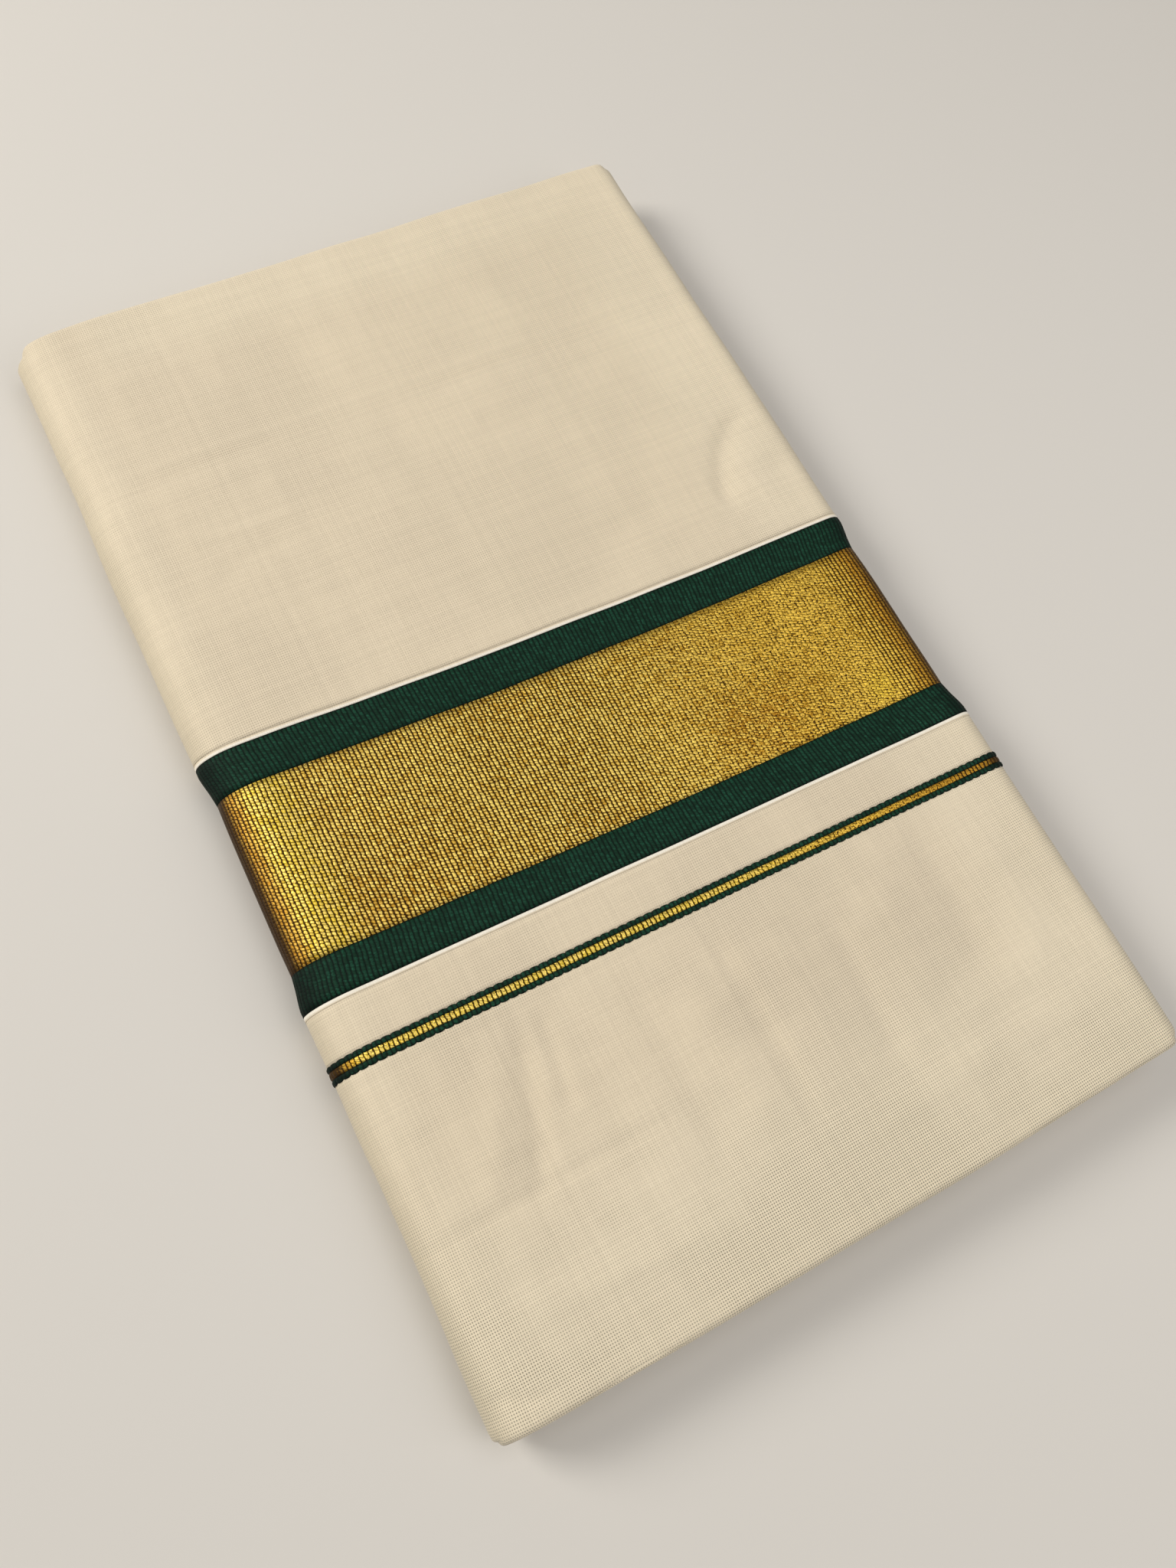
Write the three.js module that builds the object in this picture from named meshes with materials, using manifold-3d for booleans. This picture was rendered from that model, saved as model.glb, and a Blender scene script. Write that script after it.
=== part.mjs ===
// A cotton saree folded flat and lying on its underside, in millimetres, +Z up.
// The cloth's whole length is folded into a stack, and the stack is folded in half twice across
// its width. X runs across the packet with the thick roll of the last fold on the left, Y runs
// along it, and the origin is the middle of the underside.

import * as THREE from 'three';
import Module from 'manifold-3d';
import { mergeVertices } from 'three/addons/utils/BufferGeometryUtils.js';

// The packet and its cloth
const PACKET_WIDTH = 280;
const PACKET_LENGTH = 455.5;
const PACKET_HEIGHT = 24;
const CLOTH_WALL = 1.2;
const PIECE_GAP = 0.3;
const COVER_GAP = 0.5;
const STACK_HEIGHT = PACKET_HEIGHT / 4;

// The folds: how far each bend reaches out in plan, and how far the outer cloth is tucked in
const LEFT_ROLL_REACH = 20;
const RIGHT_FOLD_REACH = 7.5;
const TUCK_LENGTH = 9;
const END_FOLD_RADIUS = STACK_HEIGHT / 2;
const END_FOLD_TURN = THREE.MathUtils.degToRad(140);

// Where the selvedges lie on the right, from the middle of the packet
const OUTER_SELVEDGE_X = 135;
const LOWEST_STACK_SELVEDGE_X = 134;
const THIRD_STACK_SELVEDGE_X = 130.5;
const SELVEDGE_SLOT = { depth: 3, height: 0.5, perStack: 2 };

// The lines where the weave changes, far to near: the place of each at the middle of the packet,
// and how far it has drifted at the left and at the right, because the band lies a little askew
const DRIFT_SPAN = 112;
const WEAVE_LINES = {
  guardFar: { middle: 20.5, left: 4.6, right: -1.8 },
  greenFar: { middle: 18.7, left: 4.6, right: -1.7 },
  goldFar: { middle: 3.2, left: 4.1, right: -1.5 },
  goldNear: { middle: -64.6, left: 2.5, right: -1.8 },
  greenNear: { middle: -79.1, left: 2.2, right: -2.2 },
  guardNear: { middle: -80.9, left: 2.2, right: -2.2 },
  narrowFar: { middle: -98.5, left: 1.85, right: -2.25 },
  narrowGoldFar: { middle: -100.1, left: 1.95, right: -2.45 },
  narrowGoldNear: { middle: -102.7, left: 1.85, right: -2.2 },
  narrowNear: { middle: -104.3, left: 1.75, right: -2.35 },
};

// The stretches of the outer cloth, far to near, with the rows of faces along each
const CREAM = { color: 0xdccfad, roughness: 0.88, metalness: 0 };
const WHITE = { color: 0xece6d4, roughness: 0.85, metalness: 0 };
const GREEN = { color: 0x14402f, roughness: 0.7, metalness: 0 };
const GOLD = { color: 0xb8943a, roughness: 0.45, metalness: 0.6 };
const STRETCHES = [
  { name: 'field_far', from: 'farEnd', to: 'guardFar', rows: 6, finish: CREAM },
  { name: 'guard_line_far', from: 'guardFar', to: 'greenFar', rows: 1, finish: WHITE },
  { name: 'green_stripe_far', from: 'greenFar', to: 'goldFar', rows: 1, finish: GREEN },
  { name: 'gold_band', from: 'goldFar', to: 'goldNear', rows: 3, finish: GOLD },
  { name: 'green_stripe_near', from: 'goldNear', to: 'greenNear', rows: 1, finish: GREEN },
  { name: 'guard_line_near', from: 'greenNear', to: 'guardNear', rows: 1, finish: WHITE },
  { name: 'field_between', from: 'guardNear', to: 'narrowFar', rows: 1, finish: CREAM },
  { name: 'narrow_green_far', from: 'narrowFar', to: 'narrowGoldFar', rows: 1, finish: GREEN },
  { name: 'narrow_gold', from: 'narrowGoldFar', to: 'narrowGoldNear', rows: 1, finish: GOLD },
  { name: 'narrow_green_near', from: 'narrowGoldNear', to: 'narrowNear', rows: 1, finish: GREEN },
  { name: 'field_near', from: 'narrowNear', to: 'nearEnd', rows: 4, finish: CREAM },
];

// The packet's outline: each corner's cut across and along, with 2 for a round corner and less
// for a flatter one, and the soft departures of its sides
const CORNERS = [
  { side: -1, end: 1, across: 8, along: 7, power: 1.5 },
  { side: 1, end: 1, across: 6, along: 6, power: 1.9 },
  { side: -1, end: -1, across: 3.5, along: 4, power: 1.9 },
  { side: 1, end: -1, across: 7, along: 6, power: 1.9 },
];
const WAIST = { left: 2.0, right: 2.7 };
const NEAR_BOW = 1.5;
const FAR_HOLLOWS = [
  { depth: 0.9, x: -25, spread: 60 },
  { depth: 1.3, x: -122, spread: 16 },
];

// How far the packet sinks between its folds, as shares of its height
const SINK_ALONG_MIDDLE = 0.03;
const SINK_AT_BAND = 0.025;

// How many flat faces make each run across the packet, and each round end
const STEPS = {
  underside: 4, leftRoll: 14, topFace: 8, rightFold: 10, tuck: 2,
  secondStack: 4, innerRoll: 8, thirdStack: 4, clothEnd: 6, stackEnd: 6, slot: 12,
};
const CORNER_ROWS = 2;

const halfWidth = PACKET_WIDTH / 2;
const halfLength = PACKET_LENGTH / 2;
const middleHeight = PACKET_HEIGHT / 2;
const rollX = -halfWidth + LEFT_ROLL_REACH;
const rightFoldX = halfWidth - RIGHT_FOLD_REACH;
const endFoldY = halfLength - END_FOLD_RADIUS;
const cornerY = halfLength - Math.max(...CORNERS.map(({ along }) => along));

// The fold line of the cloth across the packet is a list of stations. Each gives the point that
// lies at a depth below the cloth's outer face.
function straight(fromX, toX, steps, heightAt) {
  return Array.from({ length: steps + 1 }, (_, step) => (depth) => ({
    x: THREE.MathUtils.lerp(fromX, toX, step / steps),
    z: heightAt(depth),
  }));
}

// A half turn about a centre: side is -1 to the left or 1 to the right, start is 1 at the top
function halfTurn(centreX, centreZ, side, start, steps, reachAt, riseAt) {
  return Array.from({ length: steps + 1 }, (_, step) => (depth) => {
    const angle = (Math.PI * step) / steps;
    return {
      x: centreX + side * reachAt(depth) * Math.sin(angle),
      z: centreZ + start * riseAt(depth) * Math.cos(angle),
    };
  });
}

function joined(...runs) {
  return runs.flatMap((run, index) => (index === 0 ? run : run.slice(1)));
}

const underside = (edgeX) => straight(edgeX, rollX, STEPS.underside, (depth) => depth);
const leftRoll = halfTurn(
  rollX, middleHeight, -1, -1, STEPS.leftRoll,
  (depth) => LEFT_ROLL_REACH - depth,
  (depth) => middleHeight - depth,
);
const topFace = straight(
  rollX, rightFoldX, STEPS.topFace, (depth) => PACKET_HEIGHT - depth,
);
const rightFold = halfTurn(
  rightFoldX, 3 * STACK_HEIGHT, 1, 1, STEPS.rightFold,
  (depth) => RIGHT_FOLD_REACH - depth,
  (depth) => STACK_HEIGHT - depth,
);
const tuck = straight(
  rightFoldX, rightFoldX - TUCK_LENGTH, STEPS.tuck, (depth) => middleHeight + depth,
);
const secondStack = straight(
  rightFoldX - TUCK_LENGTH - 2 * CLOTH_WALL, rollX, STEPS.secondStack,
  (depth) => middleHeight + depth,
);
const innerRoll = halfTurn(
  rollX, middleHeight, -1, 1, STEPS.innerRoll,
  (depth) => LEFT_ROLL_REACH - middleHeight + depth,
  (depth) => depth,
);
const thirdStack = straight(
  rollX, THIRD_STACK_SELVEDGE_X, STEPS.thirdStack, (depth) => middleHeight - depth,
);

// Lines across the packet by name: the two end folds, where the round corners start, and the weave
const END_LINES = { farEnd: endFoldY, farCorner: cornerY, nearCorner: -cornerY, nearEnd: -endFoldY };

function weaveLine(name, x) {
  if (name in END_LINES) return END_LINES[name];
  const { middle, left, right } = WEAVE_LINES[name];
  const t = x / DRIFT_SPAN;
  return middle + ((right - left) / 2) * t + ((right + left) / 2) * t * t;
}

// Rounds the corners in plan: squares about each corner's centre become rounder ones
function roundCorner(x, y) {
  const corner = CORNERS.find(({ side, end }) => side * x > 0 && end * y > 0);
  if (!corner) return { x, y };
  const p = 1 - (halfWidth - Math.abs(x)) / corner.across;
  const q = 1 - (halfLength - Math.abs(y)) / corner.along;
  if (p <= 0 || q <= 0) return { x, y };
  const shrink = Math.max(p, q) / (p ** corner.power + q ** corner.power) ** (1 / corner.power);
  return {
    x: Math.sign(x) * (halfWidth - corner.across * (1 - p * shrink)),
    y: Math.sign(y) * (halfLength - corner.along * (1 - q * shrink)),
  };
}

// 1 along the stiff gold band, which draws the packet in, and 0 beyond its green stripes
function waistAt(x, y) {
  const line = (name) => weaveLine(name, x);
  return y > (line('goldFar') + line('goldNear')) / 2
    ? 1 - THREE.MathUtils.smoothstep(y, line('goldFar'), line('greenFar'))
    : THREE.MathUtils.smoothstep(y, line('greenNear'), line('goldNear'));
}

// Every point of every piece goes through this, so that neighbours keep their gaps
function settle({ x, y, z }) {
  const plan = roundCorner(x, y);
  const across = plan.x / halfWidth;
  const along = plan.y / halfLength;
  const waist = waistAt(x, plan.y);
  const pull = across < 0 ? WAIST.left : WAIST.right;
  const bow = NEAR_BOW * across * across * ((1 - along) / 2) ** 4;
  const hollow = FAR_HOLLOWS
    .map((dip) => dip.depth * Math.exp(-(((plan.x - dip.x) / dip.spread) ** 2)))
    .reduce((sum, dip) => sum + dip);
  const sink = SINK_ALONG_MIDDLE * (1 - across * across) * (1 - along * along)
    + SINK_AT_BAND * waist * (1 - across * across);
  return new THREE.Vector3(
    plan.x - across * pull * waist,
    plan.y + bow - hollow * ((1 + along) / 2) ** 4,
    z * (1 - sink),
  );
}

function closedGeometry(points, faces) {
  const geometry = new THREE.BufferGeometry();
  const places = points.flatMap((point) => point.toArray());
  geometry.setAttribute('position', new THREE.Float32BufferAttribute(places, 3));
  let volume = 0;
  for (const [a, b, c] of faces) volume += points[a].dot(points[b].clone().cross(points[c]));
  geometry.setIndex(faces.flatMap(([a, b, c]) => (volume > 0 ? [a, b, c] : [a, c, b])));
  return geometry;
}

// A flat ring cut into triangles that turn the same way as the ring
function capFaces(ring) {
  const faces = THREE.ShapeUtils.triangulateShape(ring, []);
  return THREE.ShapeUtils.isClockWise(ring) ? faces.map(([a, b, c]) => [a, c, b]) : faces;
}

// A closed surface through a grid of loops, one loop a station, with both ends capped.
// flat gives each loop's points in a plane, for cutting the caps into triangles.
function loftLoops(loops, flat) {
  const size = loops[0].length;
  const faces = [];
  for (let station = 0; station + 1 < loops.length; station++) {
    for (let index = 0; index < size; index++) {
      const next = (index + 1) % size;
      const a = station * size + index;
      const b = station * size + next;
      faces.push([a, b, b + size], [a, b + size, a + size]);
    }
  }
  const lastStart = (loops.length - 1) * size;
  for (const [a, b, c] of capFaces(flat[0])) faces.push([a, c, b]);
  for (const [a, b, c] of capFaces(flat[1])) faces.push([lastStart + a, lastStart + b, lastStart + c]);
  return closedGeometry(loops.flat(), faces);
}

// The outer cloth's turn over the end of its stack, from its hidden lip to its face: each row has
// the depth and place of its outer and its inner side
function endTurn(end) {
  const side = (radius, angle) => ({
    depth: END_FOLD_RADIUS - radius * Math.cos(angle),
    y: () => end * (endFoldY + radius * Math.sin(angle)),
  });
  return Array.from({ length: STEPS.clothEnd }, (_, step) => {
    const angle = END_FOLD_TURN * (1 - step / STEPS.clothEnd);
    return {
      outer: side(END_FOLD_RADIUS, angle),
      inner: side(END_FOLD_RADIUS - CLOTH_WALL, angle),
    };
  });
}

// Rows across the packet, evenly between the two lines of each span, as functions of x
function rowsThrough(spans, lineAt) {
  const first = (x) => lineAt(spans[0].from, x);
  return [first, ...spans.flatMap(({ from, to, rows }) => (
    Array.from({ length: rows }, (_, row) => (x) => (
      THREE.MathUtils.lerp(lineAt(from, x), lineAt(to, x), (row + 1) / rows)
    ))
  ))];
}

// The rows of the outer cloth between two weave lines, far to near, half a gap short of each seam
function wallRows({ from, to, rows }) {
  const start = from === 'farEnd' ? 'farCorner' : from;
  const finish = to === 'nearEnd' ? 'nearCorner' : to;
  const spans = [
    { from, to: start, rows: CORNER_ROWS },
    { from: start, to: finish, rows },
    { from: finish, to, rows: CORNER_ROWS },
  ].filter((span) => span.from !== span.to);
  const seamGap = {
    [start]: start === from ? -PIECE_GAP / 2 : 0,
    [finish]: finish === to ? PIECE_GAP / 2 : 0,
  };
  const body = rowsThrough(spans, (name, x) => weaveLine(name, x) + (seamGap[name] ?? 0))
    .map((y) => ({ outer: { depth: 0, y }, inner: { depth: CLOTH_WALL, y } }));
  return [
    ...(from === 'farEnd' ? endTurn(1) : []),
    ...body,
    ...(to === 'nearEnd' ? endTurn(-1).reverse() : []),
  ];
}

function outerCloth(stretch) {
  const columns = joined(underside(OUTER_SELVEDGE_X), leftRoll, topFace, rightFold, tuck);
  const rows = wallRows(stretch);
  const place = (column, { depth, y }) => {
    const { x, z } = column(depth);
    return settle({ x, y: y(x), z });
  };
  const loops = columns.map((column) => [
    ...rows.map(({ outer }) => place(column, outer)),
    ...rows.map(({ inner }) => place(column, inner)).reverse(),
  ]);
  const ring = [
    ...rows.map(({ outer }) => new THREE.Vector2(outer.y(0), outer.depth)),
    ...rows.map(({ inner }) => new THREE.Vector2(inner.y(0), inner.depth)).reverse(),
  ];
  return loftLoops(loops, [ring, ring]);
}

// The rows of the hidden stack, near to far, follow the weave lines of the cloth over them
const STACK_SPANS = [
  { from: 'nearEnd', to: 'nearCorner', rows: CORNER_ROWS },
  { from: 'nearCorner', to: 'greenNear', rows: 4 },
  { from: 'greenNear', to: 'goldNear', rows: 1 },
  { from: 'goldNear', to: 'goldFar', rows: 3 },
  { from: 'goldFar', to: 'greenFar', rows: 1 },
  { from: 'greenFar', to: 'farCorner', rows: 6 },
  { from: 'farCorner', to: 'farEnd', rows: CORNER_ROWS },
];
const STACK_ROWS = rowsThrough(STACK_SPANS, weaveLine);

// One station of the hidden stack, as a loop of depth and place along the packet. Its two ends
// are round, about the same centre as the outer cloth's turn.
function stackLoop(topDepth, bottomDepth) {
  const radius = END_FOLD_RADIUS - topDepth;
  const turn = (end) => Array.from({ length: STEPS.stackEnd - 1 }, (_, step) => {
    const angle = (Math.PI * (step + 1)) / STEPS.stackEnd;
    return {
      depth: Math.min(END_FOLD_RADIUS - radius * Math.cos(angle), bottomDepth),
      y: () => end * (endFoldY + radius * Math.sin(angle)),
    };
  });
  return [
    ...STACK_ROWS.map((y) => ({ depth: topDepth, y })),
    ...turn(1),
    ...STACK_ROWS.map((y) => ({ depth: bottomDepth, y })).reverse(),
    ...turn(-1).reverse(),
  ];
}

// Thin slots along a selvedge, which part its edge into layers
function selvedgeSlots(edgeX, baseHeight, topHeight) {
  const { depth, height, perStack } = SELVEDGE_SLOT;
  return Array.from({ length: perStack }, (_, index) => {
    const slot = new THREE.BoxGeometry(
      2 * depth, PACKET_LENGTH + 2 * PIECE_GAP, height, 1, STEPS.slot, 1,
    );
    const share = (index + 1) / (perStack + 1);
    return slot.translate(edgeX, 0, THREE.MathUtils.lerp(baseHeight, topHeight, share));
  });
}

// The hidden layers: one stack that runs from its lowest selvedge, under, round and over the
// packet, back between the halves and out again to its third selvedge.
function foldedLayers(solids) {
  const covered = CLOTH_WALL + COVER_GAP;
  const innerFace = STACK_HEIGHT - PIECE_GAP / 2;
  const stations = [
    ...joined(underside(LOWEST_STACK_SELVEDGE_X), leftRoll, topFace, rightFold, tuck)
      .map((at) => ({ at, topDepth: covered })),
    ...secondStack.map((at) => ({ at, topDepth: 0 })),
    ...joined(innerRoll, thirdStack).slice(1).map((at) => ({ at, topDepth: PIECE_GAP })),
  ];
  const flatLoops = stations.map(({ topDepth }) => stackLoop(topDepth, innerFace));
  const loops = stations.map(({ at }, index) => flatLoops[index].map(({ depth, y }) => {
    const { x, z } = at(depth);
    return settle({ x, y: y(x), z });
  }));
  const ring = (loop) => loop.map(({ depth, y }) => new THREE.Vector2(y(0), depth));
  const body = loftLoops(loops, [ring(flatLoops[0]), ring(flatLoops.at(-1))]);
  const slots = [
    ...selvedgeSlots(LOWEST_STACK_SELVEDGE_X, covered, innerFace),
    ...selvedgeSlots(THIRD_STACK_SELVEDGE_X, middleHeight - innerFace, middleHeight - PIECE_GAP),
  ];
  return slots.reduce(
    (solid, slot) => solid.subtract(solids.fromGeometry(settled(slot))),
    solids.fromGeometry(body),
  );
}

// A box's own points, welded and then settled with the rest of the packet
function settled(geometry) {
  geometry.deleteAttribute('normal');
  geometry.deleteAttribute('uv');
  const welded = mergeVertices(geometry);
  const position = welded.getAttribute('position');
  for (let index = 0; index < position.count; index++) {
    const point = settle(new THREE.Vector3().fromBufferAttribute(position, index));
    position.setXYZ(index, point.x, point.y, point.z);
  }
  return welded;
}

async function solidTools() {
  const library = await Module();
  library.setup();
  return {
    fromGeometry(geometry) {
      return new library.Manifold(new library.Mesh({
        numProp: 3,
        vertProperties: new Float32Array(geometry.getAttribute('position').array),
        triVerts: new Uint32Array(geometry.getIndex().array),
      }));
    },
    toGeometry(solid) {
      const mesh = solid.getMesh();
      const geometry = new THREE.BufferGeometry();
      geometry.setAttribute('position', new THREE.BufferAttribute(mesh.vertProperties, 3));
      geometry.setIndex(new THREE.BufferAttribute(mesh.triVerts, 1));
      return geometry;
    },
  };
}

function piece(name, geometry, finish) {
  geometry.computeVertexNormals();
  const mesh = new THREE.Mesh(geometry, new THREE.MeshStandardMaterial(finish));
  mesh.name = name;
  return mesh;
}

const solids = await solidTools();
const saree = new THREE.Group();
saree.add(piece('folded_layers', solids.toGeometry(foldedLayers(solids)), CREAM));
for (const stretch of STRETCHES) saree.add(piece(stretch.name, outerCloth(stretch), stretch.finish));

export default saree;
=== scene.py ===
# A cotton saree folded flat, with a wide ribbed gold band between green stripes and a narrow
# border beside it. Sizes are in millimetres and become metres as each mesh is made.

import math

import bpy
import numpy as np
from mathutils import Matrix, Vector


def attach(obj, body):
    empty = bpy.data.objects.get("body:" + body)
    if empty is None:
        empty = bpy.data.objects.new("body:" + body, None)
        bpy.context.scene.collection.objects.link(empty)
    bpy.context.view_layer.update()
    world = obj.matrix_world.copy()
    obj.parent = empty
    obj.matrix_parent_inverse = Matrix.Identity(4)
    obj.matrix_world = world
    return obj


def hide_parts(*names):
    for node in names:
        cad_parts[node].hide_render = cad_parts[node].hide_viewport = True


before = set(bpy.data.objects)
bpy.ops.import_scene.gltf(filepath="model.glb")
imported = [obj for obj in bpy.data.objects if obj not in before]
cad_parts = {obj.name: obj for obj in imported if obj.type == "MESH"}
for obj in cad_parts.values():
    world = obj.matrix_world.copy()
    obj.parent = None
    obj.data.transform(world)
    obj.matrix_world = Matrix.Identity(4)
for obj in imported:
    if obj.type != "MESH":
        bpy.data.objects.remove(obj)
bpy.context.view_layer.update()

METRES = 0.001

# The packet and its folds, as in the solids
PACKET_WIDTH = 280.0
PACKET_LENGTH = 455.5
PACKET_HEIGHT = 24.0
STACK_HEIGHT = PACKET_HEIGHT / 4
LEFT_ROLL_REACH = 20.0
RIGHT_FOLD_REACH = 7.5
TUCK_LENGTH = 9.0
END_FOLD_RADIUS = STACK_HEIGHT / 2
END_FOLD_TURN = math.radians(140)
OUTER_SELVEDGE_X = 135.0
LOWEST_STACK_SELVEDGE_X = 134.0
THIRD_STACK_SELVEDGE_X = 130.5

HALF_WIDTH = PACKET_WIDTH / 2
HALF_LENGTH = PACKET_LENGTH / 2
MIDDLE_HEIGHT = PACKET_HEIGHT / 2
ROLL_X = -HALF_WIDTH + LEFT_ROLL_REACH
RIGHT_FOLD_X = HALF_WIDTH - RIGHT_FOLD_REACH
END_FOLD_Y = HALF_LENGTH - END_FOLD_RADIUS

# The lines where the weave changes: middle of the packet, then the drift at the left and right
DRIFT_SPAN = 112.0
WEAVE_LINES = {
    "guard_far": (20.5, 4.6, -1.8),
    "green_far": (18.7, 4.6, -1.7),
    "gold_far": (3.2, 4.1, -1.5),
    "gold_near": (-64.6, 2.5, -1.8),
    "green_near": (-79.1, 2.2, -2.2),
    "guard_near": (-80.9, 2.2, -2.2),
    "narrow_far": (-98.5, 1.85, -2.25),
    "narrow_gold_far": (-100.1, 1.95, -2.45),
    "narrow_gold_near": (-102.7, 1.85, -2.2),
    "narrow_near": (-104.3, 1.75, -2.35),
}

# The packet's outline: side, end, cut across, cut along and roundness of each corner
CORNERS = (
    (-1, 1, 8.0, 7.0, 1.5),
    (1, 1, 6.0, 6.0, 1.9),
    (-1, -1, 3.5, 4.0, 1.9),
    (1, -1, 7.0, 6.0, 1.9),
)
WAIST_LEFT = 2.0
WAIST_RIGHT = 2.7
NEAR_BOW = 1.5
FAR_HOLLOWS = ((0.9, -25.0, 60.0), (1.3, -122.0, 16.0))
SINK_ALONG_MIDDLE = 0.03
SINK_AT_BAND = 0.025

# The cloth and its threads
CLOTH_THICKNESS = 0.5
RIB_PITCH = 1.74
RIB_HEIGHT = 0.30
SCALLOP_PITCH = 2 * RIB_PITCH
SCALLOP_REACH = 0.55
BEAD_HEIGHT = 0.45
ACROSS_PITCH = RIB_PITCH / 2
ALONG_PITCH = 0.96
STEPS_A_RIB = 6
FIELD_STEP = 1.8

# Creases on the outer cloth. x is measured along the cloth from the middle of the top face, so
# it runs on past the left roll and the right fold. Columns: from x, from y, to x, to y, how far
# the line bows to its left, half width, and height (a trough is below zero).
CREASES = (
    (-124.0, 146.0, 104.0, 144.5, 0.8, 1.6, 0.26),
    (-120.0, 141.0, -56.0, 142.0, 0.0, 3.6, -0.42),
    (6.0, 141.0, 70.0, 141.5, 0.0, 3.6, -0.40),
    (72.0, 142.0, 112.0, 141.0, 0.5, 3.5, -0.28),
    (-116.0, 113.0, -58.0, 108.0, -2.5, 2.6, 0.45),
    (-104.0, 90.0, -70.0, 97.0, 2.0, 5.0, -0.55),
    (18.0, 118.0, 44.0, 104.0, 2.0, 7.0, -0.60),
    (40.0, 36.0, 78.0, 62.0, 3.0, 9.0, -0.60),
    (98.0, 34.0, 129.0, 81.0, 8.0, 4.8, -1.55),
    (112.0, 36.0, 134.0, 64.0, 6.0, 8.0, 0.95),
    (-142.0, -166.0, -36.0, -164.0, 0.6, 2.2, -0.50),
    (-76.0, -108.0, -97.0, -172.0, 3.0, 4.2, -1.40),
    (-87.0, -112.0, -112.0, -165.0, 3.0, 5.0, 0.80),
    (-66.0, -108.0, -73.0, -150.0, 0.0, 3.2, -1.00),
    (-36.0, -112.0, -34.0, -192.0, 4.0, 7.0, -1.45),
    (-14.0, -112.0, -12.0, -190.0, 1.0, 5.0, 0.80),
    (0.0, -108.0, 2.0, -194.0, 0.8, 3.8, -1.25),
    (-22.0, -142.0, -21.0, -182.0, 0.0, 3.0, -0.60),
    (22.0, -112.0, 20.0, -180.0, 1.0, 7.0, 0.70),
    (44.0, -124.0, 38.0, -190.0, 1.0, 5.5, -1.15),
    (90.0, -108.0, 84.0, -178.0, 3.0, 8.0, -1.40),
    (64.0, -112.0, 62.0, -176.0, 2.0, 7.0, 0.75),
    (112.0, -122.0, 106.0, -184.0, 2.0, 6.0, 0.70),
    (-128.0, -196.0, -40.0, -206.0, 2.0, 5.0, 0.50),
    (10.0, -202.0, 112.0, -198.0, 3.0, 5.0, 0.50),
    (-139.0, -213.5, -116.0, -222.0, 1.0, 1.0, -0.80),
    (-152.0, 60.0, -146.0, 172.0, 1.5, 4.0, -0.80),
    (-148.0, -120.0, -150.0, -206.0, 1.5, 4.0, -0.75),
    (141.0, 70.0, 143.0, 190.0, 1.0, 2.2, -0.40),
    (142.0, -122.0, 141.0, -204.0, 1.0, 2.2, -0.38),
)
CREASE_END = 0.22

# Slow swells of the outer cloth: wave length across, wave length along, start and height
SWELLS = (
    (96.0, 150.0, 0.3, 0.20),
    (57.0, -210.0, 1.9, 0.14),
    (38.0, 88.0, 4.1, 0.09),
    (-71.0, 61.0, 2.6, 0.08),
)
# The underside lies flat on the floor: no creases there, and its ribs are pressed nearly flat
UNDERSIDE_RELIEF = 0.2
CURVED_FROM = -172.0
CURVED_TO = 153.0

# Where the outer cloth turns in over the packet's ends, its edge flutters a little
END_TURN_STEPS = 10
END_FLUTTER = 0.18

# The hidden stack: bights of cloth show one over another at both ends
BIGHTS = 6
POINTS_A_BIGHT = 7
BIGHT_GROOVE = 1.1
STACK_STEP = 4.0
STACK_ROWS = 34
STACK_GAP = 0.12
STACK_SIDE_DEPTH = STACK_HEIGHT - STACK_GAP
# How far the stack keeps back under the outer cloth's creases
CREASE_ROOM = 1.8
CREASE_ROOM_FADE = 16.0

# The cloth between the two halves shows at the ends as short turns
INNER_TURN_LENGTH = 12.0
INNER_TURN_ROWS = 3
INNER_TURN_STEP = 3.0

# The stacks' selvedges on the right: thin layers, each with its own small overhang
SELVEDGE_SHOWN = 5.0
SELVEDGE_LAYERS = 12
SELVEDGE_ROWS = 70
SELVEDGE_INSET = 14.0
SELVEDGE_END_REACH = 2.3
SELVEDGE_HALF_SHARE = 0.36
SELVEDGE_WANDER = 0.8
SELVEDGE_TIP = 0.2


# The fold line of the cloth across the packet. Each run gives x and z for a share of its length
# and a depth below the outer face.
def straight(from_x, to_x, height_at):
    return lambda share, depth: (from_x + (to_x - from_x) * share, height_at(depth) + 0 * share)


def half_turn(centre_x, centre_z, side, start, reach_at, rise_at):
    return lambda share, depth: (
        centre_x + side * reach_at(depth) * np.sin(math.pi * share),
        centre_z + start * rise_at(depth) * np.cos(math.pi * share),
    )


def underside(edge_x):
    return straight(edge_x, ROLL_X, lambda depth: depth)


left_roll = half_turn(
    ROLL_X, MIDDLE_HEIGHT, -1, -1,
    lambda depth: LEFT_ROLL_REACH - depth,
    lambda depth: MIDDLE_HEIGHT - depth,
)
top_face = straight(ROLL_X, RIGHT_FOLD_X, lambda depth: PACKET_HEIGHT - depth)
right_fold = half_turn(
    RIGHT_FOLD_X, 3 * STACK_HEIGHT, 1, 1,
    lambda depth: RIGHT_FOLD_REACH - depth,
    lambda depth: STACK_HEIGHT - depth,
)
tuck = straight(RIGHT_FOLD_X, RIGHT_FOLD_X - TUCK_LENGTH, lambda depth: MIDDLE_HEIGHT + depth)
second_stack = straight(RIGHT_FOLD_X - TUCK_LENGTH, ROLL_X, lambda depth: MIDDLE_HEIGHT + depth)
inner_roll = half_turn(
    ROLL_X, MIDDLE_HEIGHT, -1, 1,
    lambda depth: LEFT_ROLL_REACH - MIDDLE_HEIGHT + depth,
    lambda depth: depth,
)


def third_stack(edge_x):
    return straight(ROLL_X, edge_x, lambda depth: MIDDLE_HEIGHT - depth)


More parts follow.
